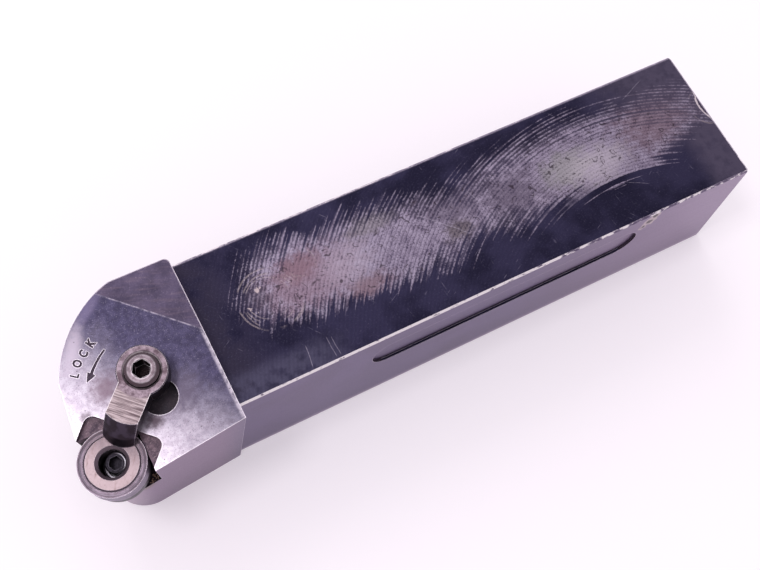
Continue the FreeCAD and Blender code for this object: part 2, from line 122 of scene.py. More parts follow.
for name, place, aim, size, power in (
    ("window_above_head", (-0.27, 0.02, 0.72), (-0.02, -0.01, 0.03), 0.16, 1.25),
    ("window_behind", (0.15, 0.75, 0.75), (0.05, 0.0, 0.02), 0.6, 2.0),
):
    lamp = bpy.data.objects.new(name, bpy.data.lights.new(name, "AREA"))
    lamp.data.size = size
    lamp.data.energy = power
    lamp.location = place
    lamp.rotation_euler = (Vector(aim) - Vector(place)).to_track_quat("-Z", "Y").to_euler()
    scene.collection.objects.link(lamp)


# Holder: one bar of alloy steel, milled, hardened and blackened. Handling has rubbed the black off
# the head and the sides, and a tool post's screws have worn a pale band along the top of the shank.
# The head's faces are milled square to the tilted plane that the insert sits in.
MM = 0.001
RAKE_NORMAL = Vector((-0.0867871, -0.0867871, 0.9924394))
RAKE_X = Vector((0.99622, -0.00378, 0.08679))
RAKE_Y = Vector((-0.00378, 0.99622, 0.08679))
INSERT_CENTRE = (-25.0, -15.625, 32.301)
INSERT_TOP = Vector(INSERT_CENTRE) * MM
FACET_POINT = INSERT_TOP + RAKE_NORMAL * 0.38 * MM

holder = bpy.data.objects.new("holder_marked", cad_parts["holder_body"].data.copy())
scene.collection.objects.link(holder)
shell = bmesh.new()
shell.from_mesh(holder.data)
bmesh.ops.remove_doubles(shell, verts=shell.verts, dist=2e-6)
shell.to_mesh(holder.data)
shell.free()


def millimetres(tree):
    """Object coordinates in millimetres."""
    place = add(tree, "TexCoord").node.outputs["Object"]
    return add(tree, "VectorMath MULTIPLY", place, (1000.0, 1000.0, 1000.0))


def mottled(tree, noise, low, high, first, second):
    """A colour that goes from the first code to the second while a noise goes from low to high."""
    mask = add(tree, "MapRange SMOOTHSTEP", noise, low, high)
    return add(tree, "Mix RGBA", mask, linear(first), linear(second))


def coats(tree, colour, *layers):
    """Lays colours over one another, each as far as its own mask says."""
    for mask, code in layers:
        colour = add(tree, "Mix RGBA", mask, colour, linear(code))
    return colour


def worn_edges(tree, radius, place, bite):
    """Where an edge is rubbed bright: how far a rounded normal leaves the flat one, broken up by noise."""
    rounded = add(tree, "Bevel", links={"Radius": radius * MM}, samples=6)
    flat = add(tree, "NewGeometry").node.outputs["True Normal"]
    agree = add(tree, "VectorMath DOT_PRODUCT", rounded, flat)
    away = add(tree, "Math SUBTRACT", 1.0, agree)
    nicks = add(tree, "TexNoise", place, 1.1, 4.0, 0.65)
    ragged = add(tree, "Math MULTIPLY_ADD", nicks, bite * 1.6, bite * -1.8)
    return add(tree, "MapRange SMOOTHSTEP", add(tree, "Math ADD", away, ragged), 0.0, 0.05)


def steel(tree, colour, rough, height, depth, metal=1.0):
    """A metal surface with its fine relief, joined to the output."""
    relief = add(tree, "Bump", links={"Height": height, "Distance": depth * MM, "Strength": 1.0})
    surface = add(
        tree,
        "BsdfPrincipled",
        links={"Base Color": colour, "Metallic": metal, "Roughness": rough, "Normal": relief},
    )
    add(tree, "OutputMaterial", links={"Surface": surface})


# Black-oxide steel, face-milled: dull blue-black, with the cutter's arcs 0.8 mm apart.
# Under the clamping screws the oxide is rubbed down to grey steel, first along the crests of the arcs.
# The place of each mark is in millimetres along and across the top.
SHANK_TOP = 31.75
oxide_top, tree = new_material("black_oxide_steel_worn")
mm = millimetres(tree)
broad = add(tree, "TexNoise", mm, 0.11, 3.0, 0.55)
middle = add(tree, "TexNoise", mm, 0.5, 5.0, 0.62)
fine = add(tree, "TexNoise", mm, 2.8, 4.0, 0.7)
where = add(tree, "SeparateXYZ", mm).node.outputs
# The band is drawn over 120 mm of the bar and 16 mm to each side of its middle.
BAND_LENGTH = 120.0
BAND_REACH = 16.0
station = add(tree, "Math DIVIDE", where["X"], BAND_LENGTH)


def border(points):
    """The worn band's border: how far across the bar, in millimetres, at each station along it."""
    curve = tree.nodes.new("ShaderNodeFloatCurve")
    line = curve.mapping.curves[0]
    line.points[0].location = (0.0, (points[0][1] + BAND_REACH) / (2 * BAND_REACH))
    line.points[1].location = (1.0, (points[-1][1] + BAND_REACH) / (2 * BAND_REACH))
    for along, across in points:
        line.points.new(along / BAND_LENGTH, (across + BAND_REACH) / (2 * BAND_REACH))
    curve.mapping.update()
    tree.links.new(station, curve.inputs["Value"])
    return add(tree, "Math MULTIPLY_ADD", curve.outputs[0], 2 * BAND_REACH, -BAND_REACH)


far = border([
    (8, 6), (14, 12.4), (20, 14), (27, 12), (36, 12.2), (50, 11.6), (62, 11), (71, 12.4),
    (84, 13.4), (95, 12.6), (106, 11), (116, 11),
])
near = border([
    (8, 0), (11, -4.6), (21, -7), (33, -7.2), (42, -9), (55, -8), (62, -6.4), (68, -7.8),
    (88, -6.2), (103, -6.6), (116, -3),
])
core_far = border([
    (8, 3), (15, 5.5), (22, 7), (34, 6.2), (45, 5), (55, 1), (62, 0.8), (70, 4.2), (80, 6),
    (90, 6.4), (100, 5), (110, 1.5),
])
core_near = border([
    (8, 2), (13, 0), (21, -1.8), (36, -4.2), (45, -3.6), (55, -0.8), (66, 0), (79, -4.4), (88, -5),
    (102, -4.5), (110, 0.5),
])
arcs = add(tree, "Mapping TEXTURE", mm, (92.2, -47.7, SHANK_TOP), (0.0, 0.0, 0.0), (1.0, 1.0, 1.0))
from_spindle = add(tree, "VectorMath LENGTH", arcs)
lane = add(
    tree,
    "TexNoise",
    links={"W": from_spindle, "Scale": 0.8, "Detail": 2.0, "Roughness": 0.7},
    noise_dimensions="1D",
)
across = add(
    tree,
    "Math ADD",
    where["Y"],
    add(tree, "Math MULTIPLY_ADD", add(tree, "TexNoise", mm, 0.16, 4.0, 0.6), 7.0, -3.5),
)
across = add(tree, "Math ADD", across, add(tree, "Math MULTIPLY_ADD", lane, 9.0, -4.5))
beyond = add(
    tree,
    "Math DIVIDE",
    add(tree, "Math SUBTRACT", across, core_far),
    add(tree, "Math SUBTRACT", far, core_far),
)
short = add(
    tree,
    "Math DIVIDE",
    add(tree, "Math SUBTRACT", core_near, across),
    add(tree, "Math SUBTRACT", core_near, near),
)
outside = add(tree, "Math MAXIMUM", add(tree, "Math MAXIMUM", beyond, short), 0.0)
ends = add(
    tree,
    "Math MULTIPLY",
    add(tree, "MapRange SMOOTHSTEP", where["X"], 4.5, 19.0),
    add(tree, "MapRange SMOOTHSTEP", where["X"], 121.5, 106.0, 0.45, 1.0),
)
band = add(
    tree, "Math MULTIPLY", add(tree, "Math MAXIMUM", add(tree, "Math SUBTRACT", 1.0, outside), 0.0), ends
)
# The wave repeats every 0.314 units, so this scale puts the arcs 0.8 mm apart.
crest = add(
    tree,
    "TexWave",
    links={
        "Vector": arcs,
        "Scale": 0.393,
        "Distortion": 0.7,
        "Detail": 3.0,
        "Detail Scale": 0.3,
        "Detail Roughness": 0.6,
    },
    wave_type="RINGS",
    rings_direction="Z",
)
ridge = add(tree, "MapRange SMOOTHSTEP", crest, 0.35, 1.0)
crests = add(tree, "Math MULTIPLY", ridge, add(tree, "Math MULTIPLY_ADD", band, -0.35, 0.62))
ragged = add(tree, "Math MULTIPLY_ADD", middle, 1.3, -0.65)
speck = add(tree, "Math MULTIPLY_ADD", fine, 1.9, -0.95)
wear = add(tree, "Math MULTIPLY_ADD", band, 1.0, -0.12)
for part in (crests, ragged, speck):
    wear = add(tree, "Math ADD", wear, part)
wear = add(
    tree,
    "Math MULTIPLY",
    add(tree, "MapRange SMOOTHSTEP", wear, 0.3, 0.9),
    add(tree, "MapRange SMOOTHSTEP", band, 0.0, 0.14),
)
wear = add(tree, "Math MULTIPLY", wear, add(tree, "MapRange SMOOTHSTEP", band, 0.1, 0.8, 0.66, 1.0))
haze = add(
    tree,
    "Math MULTIPLY",
    add(tree, "MapRange SMOOTHSTEP", band, 0.12, 0.7),
    add(tree, "Math MULTIPLY_ADD", fine, 0.7, 0.1),
)
wear = add(tree, "Math MAXIMUM", wear, haze)
hair = None
for ax, ay, bx, by, wide in (
    (16.7, -10.2, 16.1, -15.1, 0.1),
    (21.0, -10.4, 21.1, -15.3, 0.08),
    (22.0, -10.7, 22.0, -15.2, 0.08),
    (51.5, 2.6, 58.4, -3.7, 0.14),
    (49.3, 5.2, 53.0, 1.6, 0.12),
    (61.8, 6.0, 63.8, 1.0, 0.12),
    (94.0, -7.0, 98.5, -9.4, 0.06),
    (111.0, 13.4, 104.0, 10.6, 0.07),
):
    heading = math.atan2(by - ay, bx - ax)
    half = math.hypot(bx - ax, by - ay) / 2
    sway = add(tree, "VectorMath ADD", mm, add(tree, "TexNoise", mm, 0.14, 2.0, 0.55))
    strip = add(
        tree,
        "Mapping TEXTURE",
        sway,
        ((ax + bx) / 2 + 0.5, (ay + by) / 2 + 0.5, SHANK_TOP + 0.5),
        (0.0, 0.0, heading),
        (half, wide, 40.0),
    )
    strip = add(tree, "VectorMath ABSOLUTE", strip)
    sides = add(tree, "SeparateXYZ", strip).node.outputs
    line = add(
        tree,
        "Math MULTIPLY",
        add(tree, "MapRange SMOOTHSTEP", sides[0], 1.0, 0.7),
        add(tree, "MapRange SMOOTHSTEP", sides[1], 1.0, 0.3),
    )
    hair = line if hair is None else add(tree, "Math MAXIMUM", hair, line)
hair = add(tree, "Math MULTIPLY", hair, add(tree, "MapRange SMOOTHSTEP", fine, 0.3, 0.55))
oxide = mottled(tree, broad, 0.35, 0.65, "242135", "35314A")
for turn, many in ((0.5, 0.25), (-0.9, 0.2), (1.7, 0.16)):
    # Hairline scratches 0.1 mm wide, drawn twice as wide so that they show.
    streak = add(
        tree,
        "TexNoise",
        add(tree, "Mapping TEXTURE", mm, (0.0, 0.0, 0.0), (0.0, 0.0, turn), (5.0, 0.22, 5.0)),
        1.0,
        1.0,
        0.55,
    )
    streak = add(
        tree,
        "Math MULTIPLY",
        add(tree, "MapRange SMOOTHSTEP", streak, 0.7, 0.78),
        add(tree, "MapRange SMOOTHSTEP", middle, 0.5, 0.62),
    )
    oxide = add(tree, "Mix RGBA", add(tree, "Math MULTIPLY", streak, many * 2.5), oxide, linear("8A8298"))
warm = add(
    tree,
    "Math MULTIPLY",
    add(tree, "MapRange SMOOTHSTEP", where["X"], 14.0, 2.0),
    add(tree, "MapRange SMOOTHSTEP", broad, 0.4, 0.6),
)
oxide = add(tree, "Mix RGBA", add(tree, "Math MULTIPLY", warm, 0.6), oxide, linear("332D38"))
faded = add(
    tree,
    "Math MULTIPLY",
    add(tree, "MapRange SMOOTHSTEP", where["X"], 92.0, 112.0),
    add(tree, "MapRange SMOOTHSTEP", where["Y"], -7.0, 0.0),
)
faded = add(tree, "Math MAXIMUM", faded, add(tree, "MapRange SMOOTHSTEP", where["X"], 109.0, 115.0))
oxide = add(
    tree,
    "Mix RGBA",
    add(tree, "Math MULTIPLY", faded, add(tree, "MapRange SMOOTHSTEP", middle, 0.3, 0.6, 0.65, 1.0)),
    oxide,
    linear("544C60"),
)
dusty = add(
    tree,
    "Math MULTIPLY",
    add(tree, "MapRange SMOOTHSTEP", where["Y"], -8.5, -12.5),
    add(tree, "MapRange SMOOTHSTEP", where["X"], 27.0, 17.0),
)
oxide = coats(
    tree,
    oxide,
    (
        add(tree, "Math MULTIPLY", dusty, add(tree, "MapRange SMOOTHSTEP", middle, 0.3, 0.6, 0.3, 0.9)),
        "4D495F",
    ),
    (add(tree, "Math MULTIPLY", add(tree, "MapRange SMOOTHSTEP", fine, 0.52, 0.8), 0.5), "5C5870"),
)
bare = mottled(tree, middle, 0.3, 0.7, "84778D", "A598AE")
bare = coats(
    tree,
    bare,
    (add(tree, "Math MULTIPLY", add(tree, "MapRange SMOOTHSTEP", fine, 0.52, 0.8), 0.5), "C0B3C6"),
    (add(tree, "Math MULTIPLY", add(tree, "MapRange SMOOTHSTEP", fine, 0.52, 0.32), 0.85), "4E4256"),
)
between = add(
    tree,
    "Math MULTIPLY",
    add(tree, "MapRange SMOOTHSTEP", crest, 0.45, 0.0),
    add(tree, "MapRange SMOOTHSTEP", band, 0.3, 1.0, 0.55, 0.38),
)
bare = add(tree, "Mix RGBA", between, bare, linear("4C4258"))
for x, y, long_half, wide_half, code, much in (
    (22.5, 4.8, 6.0, 4.0, "7C5F6B", 0.75),
    (24.0, 1.5, 15.0, 8.0, "8D707D", 0.5),
    (33.5, -4.8, 7.0, 3.0, "7C5F66", 0.6),
    (56.0, -1.5, 4.5, 3.0, "564C46", 0.6),
    (108.0, 4.0, 12.0, 9.0, "7A616B", 0.6),
    (84.0, 1.5, 8.0, 5.0, "A5A19F", 0.5),
    (40.0, 7.5, 8.0, 3.0, "77716C", 0.4),
    (32.5, 1.5, 8.0, 5.5, "C4B7CA", 0.3),
    (58.5, 4.5, 10.0, 5.5, "5C5163", 0.6),
    (70.5, 1.0, 8.0, 7.0, "5C5163", 0.6),
    (12.6, 2.5, 3.5, 3.5, "5A4E5C", 0.6),
    (79.0, -6.8, 9.0, 3.2, "423D52", 0.75),
    (91.0, -0.5, 9.0, 5.5, "C6BAC6", 0.55),
):
    spot = add(
        tree, "Mapping TEXTURE", mm, (x, y, SHANK_TOP), (0.0, 0.0, 0.1), (long_half, wide_half, 50.0)
    )
    reach = add(tree, "VectorMath LENGTH", spot)
    tint = add(tree, "Math ADD", reach, add(tree, "Math MULTIPLY_ADD", middle, 1.6, -0.8))
    tint = add(tree, "MapRange SMOOTHSTEP", tint, 1.1, 0.3)
    bare = add(tree, "Mix RGBA", add(tree, "Math MULTIPLY", tint, much), bare, linear(code))
colour = add(tree, "Mix RGBA", wear, oxide, bare)
colour = add(tree, "Mix RGBA", add(tree, "Math MULTIPLY", hair, 0.6), colour, linear("A59AAC"))
# Small curled bruises, one in each 2.4 mm or 4 mm cell, that chips pressed into the rubbed band.
curl = None
for cells, widest, thick in ((0.42, 0.22, 0.05), (0.25, 0.2, 0.04)):
    swirl = add(tree, "TexNoise", mm, 0.5, 1.0).node.outputs["Color"]
    bent = add(tree, "VectorMath ADD", mm, add(tree, "VectorMath MULTIPLY", swirl, (2.6, 2.6, 0.0)))
    cell = add(tree, "TexVoronoi", bent, cells).node.outputs
    loop_size = add(tree, "SeparateColor", cell["Color"]).node.outputs
    off_loop = add(
        tree, "Math SUBTRACT", cell["Distance"], add(tree, "Math MULTIPLY_ADD", loop_size[0], widest, 0.12)
    )
    hook = add(tree, "MapRange SMOOTHSTEP", add(tree, "Math ABSOLUTE", off_loop), thick, thick * 0.3)
    hook = add(
        tree,
        "Math MULTIPLY",
        hook,
        add(tree, "MapRange SMOOTHSTEP", add(tree, "TexNoise", mm, 0.7, 1.0, 0.55), 0.5, 0.57),
    )
    curl = hook if curl is None else add(tree, "Math MAXIMUM", curl, hook)
curl = add(tree, "Math MULTIPLY", curl, add(tree, "MapRange SMOOTHSTEP", band, 0.25, 0.7))
colour = add(tree, "Mix RGBA", add(tree, "Math MULTIPLY", curl, 0.75), colour, linear("352B35"))
rings = None
for x, y, ring, wide in (
    (23.6, 5.8, 3.0, 0.16),
    (42.6, 4.2, 0.9, 0.16),
    (48.5, 6.8, 1.0, 0.2),
    (15.0, 1.2, 6.6, 0.26),
    (15.2, 0.8, 5.9, 0.2),
    (14.8, 1.4, 5.2, 0.2),
    (14.6, 1.6, 4.4, 0.16),
    (121.5, 1.6, 4.6, 0.25),
):
    from_ring = add(tree, "VectorMath DISTANCE", mm, (x, y, SHANK_TOP))
    off_ring = add(tree, "Math ABSOLUTE", add(tree, "Math SUBTRACT", from_ring, ring))
    mark = add(
        tree,
        "Math MULTIPLY",
        add(tree, "MapRange SMOOTHSTEP", off_ring, wide, wide * 0.3),
        add(tree, "MapRange SMOOTHSTEP", add(tree, "TexNoise", mm, 0.2, 1.0, 0.55), 0.44, 0.54),
    )
    rings = mark if rings is None else add(tree, "Math MAXIMUM", rings, mark)
rings = add(tree, "Math MULTIPLY", rings, add(tree, "MapRange SMOOTHSTEP", fine, 0.3, 0.6))
colour = add(tree, "Mix RGBA", add(tree, "Math MULTIPLY", rings, 0.55), colour, linear("A8989C"))
for x, y, size in ((13.4, 4.2, 0.5), (10.4, 1.0, 0.35), (11.6, -0.4, 0.3)):
    from_chip = add(tree, "VectorMath DISTANCE", mm, (x, y, SHANK_TOP))
    ragged = add(
        tree,
        "Math ADD",
        from_chip,
        add(tree, "Math MULTIPLY_ADD", add(tree, "TexNoise", mm, 1.4, 2.0, 0.55), 2.4, -1.2),
    )
    colour = add(
        tree,
        "Mix RGBA",
        add(tree, "MapRange SMOOTHSTEP", ragged, size, size * 0.6),
        colour,
        linear("B9A7AC"),
    )
# A knock has turned the far end's edge over in a shallow crescent with a bright lip, 9 mm long.
from_knock = add(tree, "VectorMath DISTANCE", mm, (128.25, 1.9, SHANK_TOP))
knock = add(
    tree,
    "Math ADD",
    from_knock,
    add(tree, "Math MULTIPLY_ADD", add(tree, "TexNoise", mm, 0.5, 2.0, 0.55), 0.8, -0.4),
)
colour = add(
    tree, "Mix RGBA", add(tree, "MapRange SMOOTHSTEP", knock, 8.85, 8.75), colour, linear("4D4358")
)
lip = add(
    tree,
    "MapRange SMOOTHSTEP",
    add(tree, "Math ABSOLUTE", add(tree, "Math SUBTRACT", knock, 8.9)),
    0.24,
    0.1,
)
colour = add(
    tree,
    "Mix RGBA",
    add(tree, "Math MULTIPLY", lip, add(tree, "MapRange SMOOTHSTEP", fine, 0.25, 0.5)),
    colour,
    linear("DACCD2"),
)
# Painted highlight: a pale line along the far top edge.
far_edge_highlight = add(
    tree,
    "Math MULTIPLY",
    add(tree, "MapRange SMOOTHSTEP", where["Y"], 15.1, 15.6),
    add(tree, "MapRange SMOOTHSTEP", fine, 0.3, 0.6, 0.3, 0.9),
)
colour = coats(tree, colour, (far_edge_highlight, "9A90A4"), (worn_edges(tree, 0.28, mm, 0.05), "CFC2D2"))
height = add(
    tree, "Math ADD", add(tree, "Math MULTIPLY", crest, 0.5), add(tree, "Math MULTIPLY", fine, 0.5)
)
height = add(tree, "Math SUBTRACT", height, add(tree, "Math MAXIMUM", rings, curl))
steel(tree, colour, add(tree, "MapRange SMOOTHSTEP", wear, 0.0, 1.0, 0.5, 0.42), height, 0.02)

# Broken corner of the bar: the oxide is gone and the edge is nicked, brightest on the near side.
corner_steel, tree = new_material("nicked_bright_edge")
mm = millimetres(tree)
where = add(tree, "SeparateXYZ", mm).node.outputs
nicks = add(
    tree,
    "TexNoise",
    add(tree, "Mapping TEXTURE", mm, (0.0, 0.0, 0.0), (0.0, 0.0, 0.0), (2.5, 1.0, 1.0)),
    1.2,
    5.0,
    0.7,
)
fine = add(tree, "TexNoise", mm, 4.0, 3.0, 0.7)
near_side = add(tree, "MapRange SMOOTHSTEP", where["Y"], 5.0, -14.0, -0.02, 0.1)
toward_head = add(tree, "MapRange SMOOTHSTEP", where["X"], 100.0, 30.0, -0.12, 0.03)
bright = add(
    tree,
    "MapRange SMOOTHSTEP",
    add(tree, "Math ADD", add(tree, "Math ADD", nicks, near_side), toward_head),
    0.46,
    0.56,
)
lip = add(tree, "Math ADD", where["Z"], add(tree, "Math MULTIPLY_ADD", fine, 0.3, -0.15))
lip = add(tree, "Math MULTIPLY", add(tree, "MapRange SMOOTHSTEP", lip, 31.08, 31.2), bright)
under = mottled(tree, nicks, 0.38, 0.6, "6A5E75", "988AA2")
colour = add(tree, "Mix RGBA", lip, under, linear("F2E8EC"))
steel(tree, colour, add(tree, "MapRange SMOOTHSTEP", fine, 0.2, 0.8, 0.3, 0.45), nicks, 0.05)

# Ground steel, rubbed by handling: satin, grey with a cool cast, faint lines along the bar, and bruised
# once near the far end.
# Painted shade darkens it low down and in the side slot's bottom corner, where oil lies too; a painted
# floor reflection lightens its foot.
NEAR_SIDE = -15.875
ground_side, tree = new_material("satin_steel_side")
mm = millimetres(tree)
lengthwise = add(
    tree,
    "TexNoise",
    add(tree, "Mapping TEXTURE", mm, (0.0, 0.0, 0.0), (0.0, 0.0, 0.0), (9.0, 1.0, 0.35)),
    1.0,
    3.0,
    0.55,
)
cloud = add(tree, "TexNoise", mm, 0.07, 2.0, 0.55)
fine = add(tree, "TexNoise", mm, 3.2, 4.0, 0.7)
where = add(tree, "SeparateXYZ", mm).node.outputs
colour = mottled(tree, cloud, 0.3, 0.7, "665777", "6C5D80")
colour = coats(
    tree,
    colour,
    (add(tree, "MapRange SMOOTHSTEP", where["X"], 55.0, 118.0), "8E7A96"),
    (add(tree, "MapRange SMOOTHSTEP", where["X"], 2.0, -6.0), "836A88"),
    (add(tree, "MapRange SMOOTHSTEP", where["X"], -19.0, -26.0), "A892A6"),
    # Painted shade: darker towards the bottom of the side.
    (add(tree, "MapRange SMOOTHSTEP", where["Z"], 20.0, -4.0, 0.0, 0.2), "584B62"),
)
# Painted reflection of the white floor: paler along the bottom edge of the side.
painted_floor_reflection = add(
    tree,
    "Math MULTIPLY",
    add(tree, "MapRange SMOOTHSTEP", where["Z"], 2.4, 0.3),
    add(tree, "MapRange SMOOTHSTEP", where["X"], -2.0, 4.0),
)
colour = coats(
    tree,
    colour,
    (add(tree, "Math MULTIPLY", painted_floor_reflection, 0.55), "C4B6CA"),
    (add(tree, "MapRange SMOOTHSTEP", where["Y"], -15.0, -7.0, 0.0, 0.75), "6A6770"),
    (add(tree, "Math MULTIPLY", add(tree, "MapRange SMOOTHSTEP", lengthwise, 0.45, 0.75), 0.25), "5A4E66"),
    (add(tree, "Math MULTIPLY", add(tree, "MapRange SMOOTHSTEP", fine, 0.58, 0.8), 0.3), "9C8FA4"),
)
for x, z, size in ((95.4, 28.4, 1.5), (94.4, 26.8, 1.0), (96.2, 30.4, 1.1)):
    from_bruise = add(tree, "VectorMath DISTANCE", mm, (x, NEAR_SIDE, z))
    ragged = add(
        tree,
        "Math ADD",
        from_bruise,
        add(tree, "Math MULTIPLY_ADD", add(tree, "TexNoise", mm, 1.1, 3.0, 0.55), 2.6, -1.3),
    )
    colour = coats(
        tree,
        colour,
        (add(tree, "MapRange SMOOTHSTEP", ragged, size * 1.4, size), "B8A8AC"),
        (add(tree, "MapRange SMOOTHSTEP", ragged, size * 0.8, size * 0.5), "4E4048"),
    )
from_stain = add(tree, "VectorMath DISTANCE", mm, (-20.3, -20.9, 21.8))
stain = add(tree, "Math ADD", from_stain, add(tree, "Math MULTIPLY_ADD", fine, 3.0, -1.5))
colour = add(
    tree, "Mix RGBA", add(tree, "MapRange SMOOTHSTEP", stain, 2.3, 0.9, 0.0, 0.75), colour, linear("6E5148")
)
in_slot = add(
    tree,
    "Math MULTIPLY",
    add(tree, "MapRange SMOOTHSTEP", where["Y"], -15.85, -15.6),
    add(tree, "MapRange SMOOTHSTEP", where["Y"], -14.8, -15.0),
)
# Painted shade with oil: dark along the bottom of the side slot.
low = add(
    tree,
    "Math MULTIPLY",
    add(tree, "MapRange SMOOTHSTEP", where["Z"], 18.9, 17.9),
    add(tree, "MapRange SMOOTHSTEP", where["X"], 8.0, 9.0),
)
colour = coats(
    tree,
    colour,
    (add(tree, "Math MULTIPLY", in_slot, low), "2E283A"),
    (worn_edges(tree, 0.25, mm, 0.06), "CDC0D0"),
)
height = add(tree, "Math ADD", lengthwise, add(tree, "Math MULTIPLY", fine, 0.4))
steel(tree, colour, add(tree, "MapRange SMOOTHSTEP", fine, 0.2, 0.8, 0.32, 0.42), height, 0.005)

# Milled steel crown of the head, behind the rake facet: purplish grey where the black is half gone.
crown_steel, tree = new_material("milled_steel_crown")
mm = millimetres(tree)
across = add(
    tree,
    "TexNoise",
    add(tree, "Mapping TEXTURE", mm, (0.0, 0.0, 0.0), (0.0, 0.0, -0.35), (5.0, 0.7, 1.0)),
    1.0,
    3.0,
    0.55,
)
cloud = add(tree, "TexNoise", mm, 0.3, 4.0, 0.6)
fine = add(tree, "TexNoise", mm, 3.0, 4.0, 0.75)
colour = mottled(tree, cloud, 0.3, 0.7, "4B4357", "61566E")
colour = coats(
    tree,
    colour,
    (add(tree, "Math MULTIPLY", add(tree, "MapRange SMOOTHSTEP", across, 0.45, 0.75), 0.35), "7C6A78"),
    (add(tree, "Math MULTIPLY", add(tree, "MapRange SMOOTHSTEP", fine, 0.54, 0.75), 0.45), "9A8B9C"),
    (add(tree, "Math MULTIPLY", add(tree, "MapRange SMOOTHSTEP", fine, 0.46, 0.25), 0.5), "3E3649"),
    (worn_edges(tree, 0.45, mm, 0.03), "DCCFDC"),
)
height = add(tree, "Math ADD", across, add(tree, "Math MULTIPLY", fine, 0.6))
steel(tree, colour, add(tree, "MapRange SMOOTHSTEP", cloud, 0.3, 0.7, 0.38, 0.46), height, 0.01)

# Rake facet of bare steel: fine-ground, rubbed bright towards the nose and lightened there further by a
# painted highlight, blotched blue-grey behind.
facet_steel, tree = new_material("bare_steel_facet")
mm = millimetres(tree)
cloud = add(tree, "TexNoise", mm, 0.14, 3.0, 0.5)
mottle = add(tree, "TexNoise", mm, 0.9, 4.0, 0.6)
fine = add(tree, "TexNoise", mm, 4.5, 3.0, 0.75)
# Lighter towards the nose: wear and a painted highlight of glare together.
to_nose = add(tree, "VectorMath DOT_PRODUCT", mm, (-0.76, -0.65, 0.0))
rubbed = add(tree, "Math ADD", to_nose, add(tree, "Math MULTIPLY_ADD", cloud, 9.0, -4.5))
rubbed = add(tree, "MapRange SMOOTHSTEP", rubbed, 5.5, 29.0)
dark = mottled(tree, mottle, 0.35, 0.65, "433E56", "514B67")
bright = mottled(tree, mottle, 0.3, 0.7, "C0B2C1", "DDD1DD")
colour = add(tree, "Mix RGBA", rubbed, dark, bright)
colour = coats(
    tree,
    colour,
    (add(tree, "Math MULTIPLY", add(tree, "MapRange SMOOTHSTEP", fine, 0.55, 0.75), 0.35), "C2B5C6"),
    (add(tree, "Math MULTIPLY", add(tree, "MapRange SMOOTHSTEP", fine, 0.48, 0.28), 0.7), "4A4155"),
)
where = add(tree, "SeparateXYZ", mm).node.outputs
# Patches on the facet: stains and tone, but the second is painted shade beside the clamp finger with some
# dirt, and the fifth a painted highlight along the facet's rounded left rim.
for x, y, lean, long_half, wide_half, code, much in (
    (-20.6, -2.8, 0.4, 4.2, 3.4, "6E5A67", 0.8),
    (-15.0, -12.2, 0.4, 2.4, 2.0, "4A3E47", 0.95),
    (-8.6, -9.8, 0.6, 5.4, 4.2, "5C5264", 0.7),
    (-25.9, -6.2, 0.4, 1.8, 1.6, "54464F", 0.7),
    (-22.9, 7.0, 1.0, 6.5, 2.0, "B3A6B6", 0.75),
    (-17.5, 12.6, 0.65, 5.0, 1.5, "85799A", 0.5),
):
    spot = add(tree, "Mapping TEXTURE", mm, (x, y, 34.0), (0.0, 0.0, lean), (long_half, wide_half, 50.0))
    reach = add(tree, "VectorMath LENGTH", spot)
    tint = add(tree, "Math ADD", reach, add(tree, "Math MULTIPLY_ADD", mottle, 0.9, -0.45))
    tint = add(tree, "Math MULTIPLY", add(tree, "MapRange SMOOTHSTEP", tint, 1.15, 0.15), much)
    colour = add(tree, "Mix RGBA", tint, colour, linear(code))
# Painted highlight along the head's back edge.
back_edge_highlight = add(
    tree,
    "Math MULTIPLY",
    add(tree, "MapRange SMOOTHSTEP", where["X"], -0.9, -0.3),
    add(tree, "MapRange SMOOTHSTEP", mottle, 0.3, 0.6, 0.2, 0.7),
)
colour = add(tree, "Mix RGBA", back_edge_highlight, colour, linear("D2C6D4"))
step = add(
    tree,
    "Math MULTIPLY",
    add(tree, "MapRange SMOOTHSTEP", where["Z"], 36.155, 36.185),
    add(tree, "MapRange SMOOTHSTEP", mottle, 0.35, 0.65, 0.1, 0.65),
)
colour = add(tree, "Mix RGBA", step, colour, linear("B9ADBD"))
pit = add(tree, "TexVoronoi", mm, 0.55).node.outputs
pick = add(tree, "SeparateColor", pit["Color"]).node.outputs
pits = add(
    tree,
    "Math MULTIPLY",
    add(tree, "MapRange SMOOTHSTEP", pit["Distance"], 0.1, 0.05),
    add(tree, "MapRange SMOOTHSTEP", pick[0], 0.55, 0.6),
)
colour = coats(
    tree,
    colour,
    (add(tree, "Math MULTIPLY", pits, 0.7), "4A3F4C"),
    (worn_edges(tree, 0.3, mm, 0.05), "EADFEA"),
)
height = add(
    tree, "Math ADD", add(tree, "Math MULTIPLY", mottle, 0.5), add(tree, "Math MULTIPLY", fine, 0.8)
)
steel(tree, colour, add(tree, "MapRange SMOOTHSTEP", mottle, 0.3, 0.7, 0.32, 0.38), height, 0.006)

# Pocket, chip relief and recess: milled steel that still has its black and a film of oily dirt, with
# painted shade deeper down and under the clamp.
pocket_steel, tree = new_material("oily_black_steel")
mm = millimetres(tree)
cloud = add(tree, "TexNoise", mm, 0.5, 4.0, 0.6)
fine = add(tree, "TexNoise", mm, 3.0, 4.0, 0.7)
colour = mottled(tree, cloud, 0.35, 0.65, "4E424D", "826D79")
colour = coats(
    tree,
    colour,
    (add(tree, "Math MULTIPLY", add(tree, "MapRange SMOOTHSTEP", fine, 0.52, 0.7), 0.7), "A8949A"),
    (add(tree, "Math MULTIPLY", add(tree, "MapRange SMOOTHSTEP", fine, 0.46, 0.25), 0.6), "2C252C"),
)
